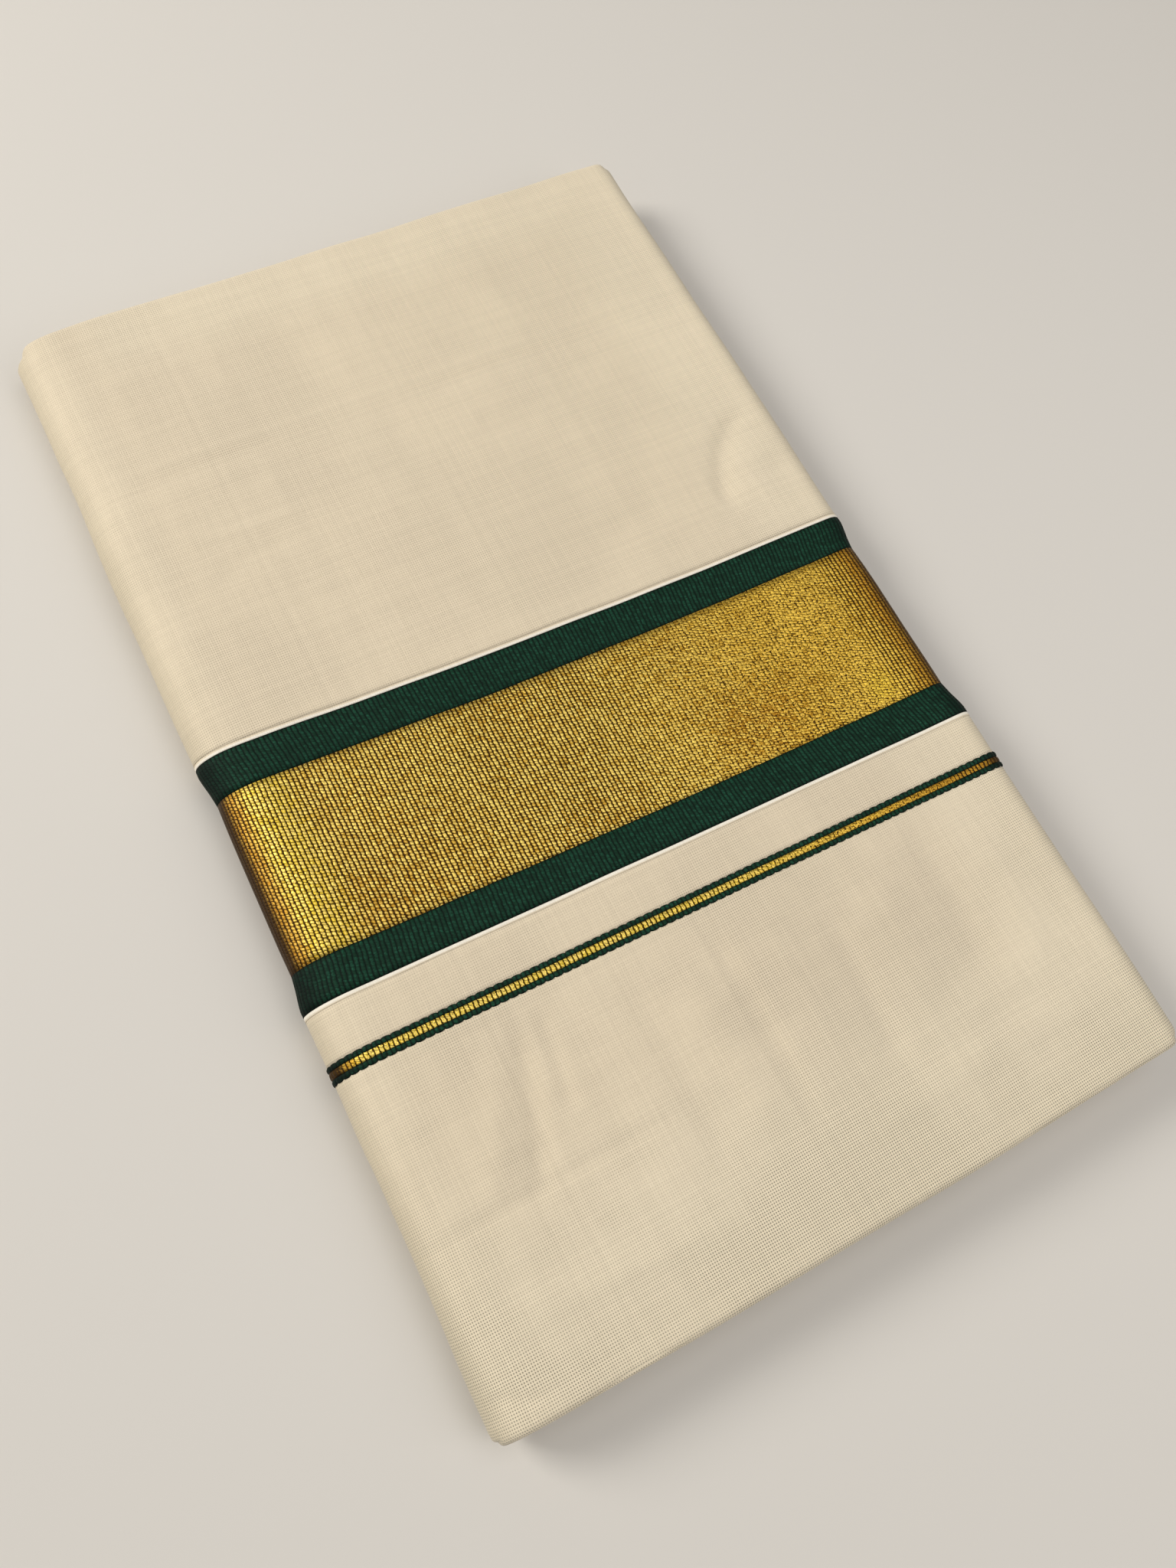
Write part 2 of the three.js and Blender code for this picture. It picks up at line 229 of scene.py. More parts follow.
class FoldPath:
    """Runs joined end to end, followed by the length of cloth along the outer face."""

    SAMPLES = 240

    def __init__(self, runs, depth=0.0):
        self.runs = runs
        shares = np.linspace(0, 1, self.SAMPLES)
        stations, points = [], []
        for index, run in enumerate(runs):
            x, z = run(shares, depth)
            points.append(np.stack([x, z], 1))
            stations.append(index + shares)
        points = np.concatenate(points)
        self.stations = np.concatenate(stations)
        steps = np.linalg.norm(np.diff(points, axis=0), axis=1)
        self.lengths = np.concatenate([[0], np.cumsum(steps)])
        self.length = self.lengths[-1]

    def start_of(self, run_index):
        return float(np.interp(run_index + 1e-6, self.stations, self.lengths))

    def at(self, along, depth):
        """x and z at each length along the cloth, at each depth below its outer face."""
        along, depth = np.broadcast_arrays(along, depth)
        station = np.interp(along, self.lengths, self.stations)
        index = np.clip(station.astype(int), 0, len(self.runs) - 1)
        x, z = np.zeros(along.shape), np.zeros(along.shape)
        for number, run in enumerate(self.runs):
            mine = index == number
            if mine.any():
                x[mine], z[mine] = run(station[mine] - number, depth[mine])
        return x, z


outer_path = FoldPath([underside(OUTER_SELVEDGE_X), left_roll, top_face, right_fold, tuck])
inner_path = FoldPath([second_stack, inner_roll, third_stack(THIRD_STACK_SELVEDGE_X)],
                      depth=CLOTH_THICKNESS)
TOP_START = outer_path.start_of(2)


def cloth_x(along):
    """The length along the outer cloth, measured as x from the middle of the top face."""
    return along - TOP_START + ROLL_X


def smooth(value, low, high):
    share = np.clip((value - low) / (high - low), 0, 1)
    return share * share * (3 - 2 * share)


def weave_line(name, x):
    if name == "far_end":
        return np.full_like(x, END_FOLD_Y)
    if name == "near_end":
        return np.full_like(x, -END_FOLD_Y)
    middle, left, right = WEAVE_LINES[name]
    t = x / DRIFT_SPAN
    return middle + (right - left) / 2 * t + (right + left) / 2 * t * t


def round_corners(x, y):
    x, y = x.copy(), y.copy()
    for side, end, across, along, power in CORNERS:
        p = 1 - (HALF_WIDTH - side * x) / across
        q = 1 - (HALF_LENGTH - end * y) / along
        inside = (p > 0) & (q > 0)
        p, q = p[inside], q[inside]
        shrink = np.maximum(p, q) / (p ** power + q ** power) ** (1 / power)
        x[inside] = side * (HALF_WIDTH - across * (1 - p * shrink))
        y[inside] = end * (HALF_LENGTH - along * (1 - q * shrink))
    return x, y


def settle(x, y, z):
    """The packet's outline, waist and sag, the same as in the solids."""
    px, py = round_corners(x, y)
    across, along = px / HALF_WIDTH, py / HALF_LENGTH
    middle = (weave_line("gold_far", x) + weave_line("gold_near", x)) / 2
    far_side = 1 - smooth(py, weave_line("gold_far", x), weave_line("green_far", x))
    near_side = smooth(py, weave_line("green_near", x), weave_line("gold_near", x))
    waist = np.where(py > middle, far_side, near_side)
    pull = np.where(across < 0, WAIST_LEFT, WAIST_RIGHT)
    bow = NEAR_BOW * across ** 2 * ((1 - along) / 2) ** 4
    hollow = sum(depth * np.exp(-((px - at) / spread) ** 2) for depth, at, spread in FAR_HOLLOWS)
    sink = SINK_ALONG_MIDDLE * (1 - across ** 2) * (1 - along ** 2)
    sink += SINK_AT_BAND * waist * (1 - across ** 2)
    return (
        px - across * pull * waist,
        py + bow - hollow * ((1 + along) / 2) ** 4,
        z * (1 - sink),
    )


def crease_relief(x, y):
    """How far the outer cloth stands out, in millimetres, at x along the cloth and at y."""
    relief = np.zeros(np.broadcast(x, y).shape)
    for from_x, from_y, to_x, to_y, bow, width, height in CREASES:
        run = np.array([to_x - from_x, to_y - from_y])
        length = np.linalg.norm(run)
        run = run / length
        share = ((x - from_x) * run[0] + (y - from_y) * run[1]) / length
        off = -(x - from_x) * run[1] + (y - from_y) * run[0]
        off = off - bow * 4 * share * (1 - share)
        ends = smooth(share, -0.02, CREASE_END) * (1 - smooth(share, 1 - CREASE_END, 1.02))
        relief += height * np.exp(-(off / width) ** 2) * ends
    for across, along, start, height in SWELLS:
        relief += height * np.sin(2 * math.pi * (x / across + y / along) + start)
    curved = smooth(x, CURVED_FROM, CURVED_FROM + 16) * (1 - smooth(x, CURVED_TO - 6, CURVED_TO))
    return relief * curved


def ridge(along, pitch):
    """A row of round threads side by side: 1 along the middle of each and 0 between them."""
    share = np.mod(along / pitch, 1.0)
    return np.sqrt(np.maximum(1 - (2 * share - 1) ** 2, 0))


def no_relief(along, share):
    return np.zeros(np.broadcast(along, share).shape)


def rib_relief(along, share):
    rounded_edge = np.minimum(1, 4 * np.minimum(share, 1 - share) + 0.35)
    return RIB_HEIGHT * ridge(along, RIB_PITCH) * rounded_edge


def bead_relief(along, share):
    """Round beads of green thread, two ribs to a bead, that stand over the cream beside them."""
    dome = np.sqrt(np.maximum(1 - (2 * share - 1) ** 2, 0))
    beads = 0.35 + 0.65 * ridge(along, SCALLOP_PITCH)
    threads = 0.12 * ridge(along, RIB_PITCH)
    return (BEAD_HEIGHT * beads + threads) * (0.25 + 0.75 * dome)


def narrow_gold_relief(along, share):
    dome = np.sqrt(np.maximum(1 - (2 * share - 1) ** 2 * 0.8, 0))
    return (0.12 + 0.34 * ridge(along + RIB_PITCH / 4, RIB_PITCH)) * dome


def guard_relief(along, share):
    return 0.10 * np.sin(math.pi * share) * (0.8 + 0.2 * ridge(along, ACROSS_PITCH))


# Meshes
def new_mesh(name, points, faces, threads):
    mesh = bpy.data.meshes.new(name)
    mesh.from_pydata((points * METRES).tolist(), [], faces)
    layer = mesh.attributes.new("threads", "FLOAT_VECTOR", "POINT")
    layer.data.foreach_set("vector", threads.astype(np.float32).ravel())
    mesh.validate()
    mesh.shade_smooth()
    piece = bpy.data.objects.new(name, mesh)
    bpy.context.scene.collection.objects.link(piece)
    return piece


def facing_out(points, faces):
    a, b, c = (points[faces[:, corner]] for corner in (0, 1, 2))
    d = points[faces[:, 3]]
    volume = np.einsum("ij,ij->i", a, np.cross(b, c)) + np.einsum("ij,ij->i", a, np.cross(c, d))
    return faces if volume.sum() > 0 else faces[:, ::-1]


def grid_faces(numbers):
    return np.stack(
        [numbers[:-1, :-1], numbers[:-1, 1:], numbers[1:, 1:], numbers[1:, :-1]], -1,
    ).reshape(-1, 4)


def thin_shell(name, outer, inner, threads):
    """A closed thin cloth from two grids of points, with a rim round it."""
    rows, columns = outer.shape[:2]
    top = np.arange(rows * columns).reshape(rows, columns)
    under = top + rows * columns
    faces = [grid_faces(top), grid_faces(under)[:, ::-1]]
    for edge, lip in (
        (top[0], under[0]), (top[-1][::-1], under[-1][::-1]),
        (top[:, 0][::-1], under[:, 0][::-1]), (top[:, -1], under[:, -1]),
    ):
        faces.append(np.stack([edge[1:], edge[:-1], lip[:-1], lip[1:]], -1))
    points = np.concatenate([outer.reshape(-1, 3), inner.reshape(-1, 3)])
    both = np.concatenate([threads.reshape(-1, 3)] * 2)
    return new_mesh(name, points, facing_out(points, np.concatenate(faces)).tolist(), both)


def cloth_stretch(name, path, far, near, rows, step, relief, far_edge=None, near_edge=None):
    """A stretch of the outer cloth between two weave lines. A stretch that reaches an end fold
    goes on round it to its lip."""
    along = np.linspace(0, path.length, int(round(path.length / step)) + 1)
    shares = list(np.linspace(0, 1, rows + 1))
    turn = np.linspace(0, END_FOLD_TURN, END_TURN_STEPS + 1)[1:]
    layout = [("body", share, 0.0, 0) for share in shares]
    if far == "far_end":
        layout = [("turn", 0.0, angle, 1) for angle in turn[::-1]] + layout
    if near == "near_end":
        layout += [("turn", 1.0, angle, -1) for angle in turn]
    base_x, _ = path.at(along, 0.0)
    far_y = weave_line(far, base_x) if isinstance(far, str) else np.full_like(base_x, far)
    near_y = weave_line(near, base_x) if isinstance(near, str) else np.full_like(base_x, near)
    if far_edge is not None:
        far_y = far_y + far_edge(along)
    if near_edge is not None:
        near_y = near_y - near_edge(along)
    # the inner cloth has no creases, as beyond the tuck's edge
    x_along = cloth_x(along) if path is outer_path else np.full_like(along, CURVED_TO)
    pressed = UNDERSIDE_RELIEF + (1 - UNDERSIDE_RELIEF) * smooth(
        x_along, CURVED_FROM, CURVED_FROM + 14)
    grids = ([], [])
    threads = []
    for kind, share, angle, end in layout:
        line_y = far_y + (near_y - far_y) * share
        raised = relief(along, share) * pressed + crease_relief(x_along, line_y)
        if kind == "turn":
            fade = math.cos(min(angle, math.pi / 2))
            raised = raised * fade + END_FLUTTER * np.sin(along / 17.0 + end) * math.sin(angle)
        for grid, sunk in zip(grids, (0.0, CLOTH_THICKNESS)):
            radius = END_FOLD_RADIUS + raised - sunk
            if kind == "turn":
                depth = END_FOLD_RADIUS - radius * math.cos(angle)
                y = end * (END_FOLD_Y + radius * math.sin(angle))
            else:
                depth = sunk - raised
                y = line_y
            x, z = path.at(along, depth)
            grid.append(np.stack(settle(x, y, z), -1))
        cloth_y = line_y + end * END_FOLD_RADIUS * angle
        threads.append(np.stack([along, cloth_y, np.full_like(along, share)], -1))
    return thin_shell(name, np.array(grids[0]), np.array(grids[1]), np.array(threads))


def bight_reach(along, number, end):
    """How far each folded layer comes forward, a little unevenly along its fold."""
    phase = 1.7 * number + 2.3 * end
    return 0.35 * math.sin(2.1 * phase) + 0.28 * np.sin(along / (31 + 5 * number) + phase)


def stack_layers():
    path = FoldPath([
        underside(LOWEST_STACK_SELVEDGE_X - SELVEDGE_SHOWN), left_roll, top_face, right_fold,
        tuck, second_stack, inner_roll, third_stack(THIRD_STACK_SELVEDGE_X - SELVEDGE_SHOWN),
    ], depth=STACK_HEIGHT / 2)
    along = np.linspace(0, path.length, int(path.length / STACK_STEP) + 1)
    wrapped = CLOTH_THICKNESS + STACK_GAP
    loops, threads = [], []

    def add(depth, y):
        x, z = path.at(along, np.broadcast_to(depth, along.shape))
        loops.append(np.stack(settle(x, np.broadcast_to(y, along.shape).astype(float), z), -1))
        threads.append(np.stack([along, np.broadcast_to(y, along.shape), 0 * along], -1))

    lines = np.linspace(-END_FOLD_Y, END_FOLD_Y, STACK_ROWS)
    for y in lines:
        clear = 1 - smooth(abs(y), END_FOLD_Y - CREASE_ROOM_FADE, END_FOLD_Y - 3)
        add(wrapped + CREASE_ROOM * clear, y)
    turns = np.linspace(0, 1, BIGHTS * POINTS_A_BIGHT + 1)[1:-1]
    for end in (1, -1):
        for share in turns if end == 1 else turns[::-1]:
            depth = wrapped + (STACK_SIDE_DEPTH - wrapped) * share
            bulge = math.sqrt(max(0.0, 1 - ((depth - END_FOLD_RADIUS) / END_FOLD_RADIUS) ** 2))
            in_bight = (share * BIGHTS) % 1.0
            number = int(share * BIGHTS)
            round_nose = math.sqrt(max(0.0, 1 - (2 * in_bight - 1) ** 2))
            reach = (END_FOLD_RADIUS - wrapped) * bulge - BIGHT_GROOVE * (1 - round_nose)
            add(depth, end * (END_FOLD_Y + reach + round_nose * bight_reach(along, number, end)))
        if end == 1:
            for y in lines[::-1]:
                add(STACK_SIDE_DEPTH, y)
    grid = np.array(loops)
    count, columns = grid.shape[:2]
    numbers = np.arange(count * columns).reshape(count, columns)
    around = np.concatenate([numbers, numbers[:1]])
    points = grid.reshape(-1, 3)
    sides = grid_faces(around)
    faces = facing_out(points, sides)
    caps = [numbers[:, 0].tolist(), numbers[::-1, -1].tolist()]
    if faces is not sides:
        caps = [cap[::-1] for cap in caps]
    return new_mesh("stack_layers", points, faces.tolist() + caps,
                    np.array(threads).reshape(-1, 3))


def selvedge_layers(name, edge_x, low, high):
    rng = np.random.default_rng(int(edge_x * 10))
    rows = np.linspace(-1, 1, SELVEDGE_ROWS)
    pitch = (high - low) / SELVEDGE_LAYERS
    points, faces, threads = [], [], []
    for layer in range(SELVEDGE_LAYERS):
        middle = low + pitch * (layer + 0.5)
        bulge = 1 - (2 * (layer + 0.5) / SELVEDGE_LAYERS - 1) ** 2
        y = rows * (END_FOLD_Y + SELVEDGE_END_REACH * math.sqrt(bulge))
        wander = rng.uniform(-1.0, 0.9) + 0.5 * np.sin(y / rng.uniform(35, 80) + rng.uniform(0, 6))
        lift = 0.1 * np.sin(y / rng.uniform(14, 40) + rng.uniform(0, 6))
        edge = edge_x + (wander - 1) * SELVEDGE_WANDER
        half = pitch * SELVEDGE_HALF_SHARE
        ring = (
            (np.full_like(y, edge_x - SELVEDGE_INSET), middle - half),
            (edge - SELVEDGE_TIP, middle - half + lift), (edge, middle + lift),
            (edge - SELVEDGE_TIP, middle + half + lift),
            (np.full_like(y, edge_x - SELVEDGE_INSET), middle + half),
        )
        start = len(ring) * SELVEDGE_ROWS * layer
        numbers = start + np.arange(len(ring) * SELVEDGE_ROWS).reshape(len(ring), SELVEDGE_ROWS)
        for x, z in ring:
            z = np.broadcast_to(z, y.shape).astype(float)
            points.append(np.stack(settle(x, y, z), -1))
            threads.append(np.stack([x, y, 0 * y], -1))
        faces.append(grid_faces(np.concatenate([numbers, numbers[:1]])))
    points = np.concatenate(points)
    faces = facing_out(points, np.concatenate(faces))
    return new_mesh(name, points, faces.tolist(), np.concatenate(threads))


# Shader nodes
class Nodes:
    """Adds nodes to a tree. A value may be a number, a tuple or another node's socket."""

    def __init__(self, tree):
        self.tree = tree

    def feed(self, socket, value):
        if isinstance(value, bpy.types.NodeSocket):
            self.tree.links.new(value, socket)
        elif value is not None:
            socket.default_value = value

    def add(self, kind, settings=None, **values):
        node = self.tree.nodes.new(kind)
        for key, value in (settings or {}).items():
            setattr(node, key, value)
        for key, value in values.items():
            self.feed(node.inputs[key.replace("_", " ")], value)
        return node

    def math(self, operation, first, second=None, third=None):
        node = self.add("ShaderNodeMath", {"operation": operation})
        for socket, value in zip(node.inputs, (first, second, third)):
            self.feed(socket, value)
        return node.outputs[0]

    def mix(self, share, first, second, blend="MIX"):
        node = self.add("ShaderNodeMix", {"data_type": "RGBA", "blend_type": blend})
        for socket, value in zip((node.inputs[0], node.inputs[6], node.inputs[7]),
                                 (share, first, second)):
            self.feed(socket, value)
        return node.outputs[2]

    def math_vector(self, vector, factor):
        node = self.add("ShaderNodeVectorMath", {"operation": "SCALE"}, Vector=vector)
        self.feed(node.inputs["Scale"], factor)
        return node.outputs[0]

    def blend(self, share, first, second):
        node = self.add("ShaderNodeMix", {"data_type": "FLOAT"})
        for socket, value in zip(node.inputs[:1] + node.inputs[2:4], (share, first, second)):
            self.feed(socket, value)
        return node.outputs[0]

    def ease(self, value, low, high, to_low=0.0, to_high=1.0):
        node = self.add("ShaderNodeMapRange", {"interpolation_type": "SMOOTHSTEP"})
        for socket, number in zip(node.inputs, (value, low, high, to_low, to_high)):
            self.feed(socket, number)
        return node.outputs[0]

    def split(self, vector):
        return self.add("ShaderNodeSeparateXYZ", Vector=vector).outputs

    def join(self, x, y, z=0.0):
        return self.add("ShaderNodeCombineXYZ", X=x, Y=y, Z=z).outputs[0]

    def noise(self, vector, scale, detail=2.0, roughness=0.5):
        return self.add("ShaderNodeTexNoise", Vector=vector, Scale=scale, Detail=detail,
                        Roughness=roughness).outputs[0]

    def random(self, vector):
        node = self.add("ShaderNodeTexWhiteNoise", {"noise_dimensions": "3D"}, Vector=vector)
        return node.outputs["Value"]

    def threads(self):
        return self.add("ShaderNodeAttribute", {"attribute_name": "threads"}).outputs["Vector"]


def shader_group(name, inputs, outputs, build):
    group = bpy.data.node_groups.new(name, "ShaderNodeTree")
    for label, kind, value in inputs:
        socket = group.interface.new_socket(name=label, in_out="INPUT", socket_type=kind)
        if value is not None:
            socket.default_value = value
    for label, kind in outputs:
        group.interface.new_socket(name=label, in_out="OUTPUT", socket_type=kind)
    nodes = Nodes(group)
    given = nodes.add("NodeGroupInput").outputs
    wanted = nodes.add("NodeGroupOutput").inputs
    build(nodes, given, wanted)
    return group


FLOAT, VECTOR = "NodeSocketFloat", "NodeSocketVector"
# How far a rib's threads stray from side to side
RIB_WAVER = 0.9


def build_plain_weave(nodes, given, wanted):
    """Threads both ways, one over and one under, with small holes where four of them meet."""
    x, y, _ = nodes.split(given["Threads"])
    stray = nodes.noise(nodes.join(nodes.math("MULTIPLY", x, 0.02), nodes.math("MULTIPLY", y, 0.06)),
                        1.0, 3.0)
    x = nodes.math("ADD", x, nodes.math("MULTIPLY", stray, given["Waviness"]))
    stray = nodes.noise(nodes.join(nodes.math("MULTIPLY", x, 0.05), nodes.math("MULTIPLY", y, 0.03)),
                        1.0, 3.0)
    y = nodes.math("ADD", y, nodes.math("MULTIPLY", stray, given["Waviness"]))
    u = nodes.math("DIVIDE", x, given["Across Pitch"])
    v = nodes.math("DIVIDE", y, given["Along Pitch"])
    wave_u = nodes.math("SINE", nodes.math("MULTIPLY", u, math.pi))
    wave_v = nodes.math("SINE", nodes.math("MULTIPLY", v, math.pi))
    round_u = nodes.math("ABSOLUTE", wave_u)
    round_v = nodes.math("ABSOLUTE", wave_v)
    over = nodes.math("MULTIPLY_ADD", nodes.math("MULTIPLY", wave_u, wave_v), 0.5, 0.5)
    lengthwise = nodes.math("MULTIPLY", round_u, nodes.math("MULTIPLY_ADD", over, 0.22, 0.78))
    crosswise = nodes.math("MULTIPLY", round_v, nodes.math("MULTIPLY_ADD", over, -0.22, 0.92))
    nodes.feed(wanted["Height"], nodes.math("MAXIMUM", lengthwise, crosswise))
    open_u = nodes.math("SUBTRACT", 1.0, round_u)
    open_v = nodes.math("SUBTRACT", 1.0, round_v)
    nodes.feed(wanted["Holes"], nodes.math("MULTIPLY", nodes.math("POWER", open_u, 0.8),
                                           nodes.math("POWER", open_v, 0.8)))
    length_thread = nodes.random(nodes.join(nodes.math("FLOOR", u), 3.0, 7.0))
    cross_thread = nodes.random(nodes.join(11.0, nodes.math("FLOOR", v), 5.0))
    slub_u = nodes.noise(nodes.join(nodes.math("MULTIPLY", nodes.math("FLOOR", u), 3.7),
                                    nodes.math("MULTIPLY", y, 0.07)), 1.0, 2.0)
    slub_v = nodes.noise(nodes.join(nodes.math("MULTIPLY", x, 0.07),
                                    nodes.math("MULTIPLY", nodes.math("FLOOR", v), 3.7)), 1.0, 2.0)
    tone = nodes.math("ADD", nodes.math("MULTIPLY", length_thread, 0.22),
                      nodes.math("MULTIPLY", cross_thread, 0.18))
    tone = nodes.math("ADD", tone, nodes.math("MULTIPLY", slub_u, 0.35))
    nodes.feed(wanted["Tone"], nodes.math("ADD", tone, nodes.math("MULTIPLY", slub_v, 0.25)))


def build_ribbed_threads(nodes, given, wanted):
    """Ribs side by side, each cut into short floats of thread by thin dark crossings."""
    x, y, _ = nodes.split(given["Threads"])
    waver = nodes.noise(nodes.join(nodes.math("MULTIPLY", x, 0.35), nodes.math("MULTIPLY", y, 0.40)),
                        1.0, 2.0)
    wavy_x = nodes.math("ADD", x, nodes.math("MULTIPLY_ADD", waver, RIB_WAVER, -RIB_WAVER / 2))
    u = nodes.math("DIVIDE", wavy_x, given["Pitch"])
    rib = nodes.math("FLOOR", u)
    in_rib = nodes.math("FRACT", u)
    centred = nodes.math("MULTIPLY_ADD", in_rib, 2.0, -1.0)
    crown = nodes.math("SUBTRACT", 1.0, nodes.math("MULTIPLY", centred, centred))
    nodes.feed(wanted["Crown"], nodes.math("POWER", crown, given["Sharpness"]))
    # the floats slant a little across their rib, and each rib starts them at its own place
    start = nodes.math("MULTIPLY", nodes.random(nodes.join(rib, 2.0, 9.0)), 9.0)
    slant = nodes.math("MULTIPLY", centred, nodes.math("MULTIPLY", given["Float Length"], 0.22))
    place = nodes.math("ADD", y, nodes.math("ADD", slant, start))
    jitter = nodes.noise(nodes.join(nodes.math("MULTIPLY", rib, 5.3),
                                    nodes.math("MULTIPLY", place, 0.55)), 1.0, 2.0)
    phase = nodes.math("DIVIDE", place, given["Float Length"])
    phase = nodes.math("ADD", phase, nodes.math("MULTIPLY", jitter, 1.5))
    in_float = nodes.math("MULTIPLY_ADD", nodes.math("FRACT", phase), 2.0, -1.0)
    swell = nodes.math("SUBTRACT", 1.0, nodes.math("POWER", nodes.math("ABSOLUTE", in_float), 2.4))
    nodes.feed(wanted["Floats"], swell)
    nodes.feed(wanted["Random"], nodes.random(nodes.join(rib, nodes.math("FLOOR", phase), 1.0)))
    speck = nodes.noise(nodes.join(nodes.math("MULTIPLY", x, 1.5), nodes.math("MULTIPLY", y, 1.9)),
                        1.0, 2.0, 0.65)
    nodes.feed(wanted["Specks"], nodes.ease(speck, 0.32, 0.68))


plain_weave = shader_group(
    "plain weave",
    [("Threads", VECTOR, None), ("Across Pitch", FLOAT, ACROSS_PITCH),
     ("Along Pitch", FLOAT, ALONG_PITCH), ("Waviness", FLOAT, 0.6)],
    [("Height", FLOAT), ("Holes", FLOAT), ("Tone", FLOAT)],
    build_plain_weave,
)
ribbed_threads = shader_group(
    "ribbed threads",
    [("Threads", VECTOR, None), ("Pitch", FLOAT, RIB_PITCH), ("Float Length", FLOAT, 1.3),
     ("Sharpness", FLOAT, 1.15)],
    [("Crown", FLOAT), ("Floats", FLOAT), ("Random", FLOAT), ("Specks", FLOAT)],
    build_ribbed_threads,
)


def place_group(nodes, group, **values):
    node = nodes.add("ShaderNodeGroup", {"node_tree": group})
    for key, value in values.items():
        nodes.feed(node.inputs[key.replace("_", " ")], value)
    return node.outputs


def new_material(name):
    material = bpy.data.materials.new(name)
    material.use_nodes = True
    material.node_tree.nodes.clear()
    nodes = Nodes(material.node_tree)
    shader = nodes.add("ShaderNodeBsdfPrincipled")
    output = nodes.add("ShaderNodeOutputMaterial")
    nodes.tree.links.new(shader.outputs[0], output.inputs["Surface"])
    return material, nodes, shader.inputs


def bump(nodes, shader, height, distance, strength):
    node = nodes.add("ShaderNodeBump", Strength=strength, Distance=distance, Height=height)
    nodes.feed(shader["Normal"], node.outputs[0])


# Colours are linear values
CREAM_LIT = (0.82, 0.715, 0.53, 1)
CREAM_MIDDLE = (0.76, 0.65, 0.475, 1)
CREAM_TAN = (0.74, 0.63, 0.465, 1)
CREAM_SHADE = (0.50, 0.43, 0.29, 1)
HOLE_COLOUR = (0.30, 0.265, 0.185, 1)
FLECK_COLOUR = (0.09, 0.07, 0.05, 1)
GUARD_WHITE = (0.90, 0.84, 0.72, 1)
GREEN_DARK = (0.0015, 0.0050, 0.0035, 1)
GREEN_MIDDLE = (0.0045, 0.0260, 0.0130, 1)
GREEN_GLINT = (0.0200, 0.1200, 0.0680, 1)
GREEN_EDGE_SHADOW = (0.0015, 0.0030, 0.0025, 1)
GOLD_SHADE = (0.040, 0.016, 0.001, 1)
GOLD_MIDDLE = (0.62, 0.350, 0.022, 1)
GOLD_WARM = (0.50, 0.215, 0.008, 1)
GOLD_BRIGHT = (1.00, 0.75, 0.18, 1)
GOLD_YELLOW = (0.94, 0.68, 0.035, 1)
GOLD_AMBER = (0.96, 0.62, 0.08, 1)

# How far the painted glitter hides the ribs of the wide band towards its right-hand end
GRAIN_SHARE = 0.80

# Soft places on the band painted as catching more light, or less: x, y, spread and strength
GLOWS = (
    (22.0, -53.0, 14.0, 0.30),
    (62.0, -54.0, 16.0, -0.35),
    (-115.0, -18.0, 14.0, 0.25),
    (0.0, -22.0, 24.0, 0.22),
    (100.0, -8.0, 22.0, 0.45),
    (113.0, -58.0, 13.0, 1.00),
    (-62.0, -12.0, 16.0, 0.35),
    (45.0, -42.0, 14.0, -0.30),
    (-92.0, -50.0, 16.0, -0.12),
    (84.0, -44.0, 13.0, -0.20),
)


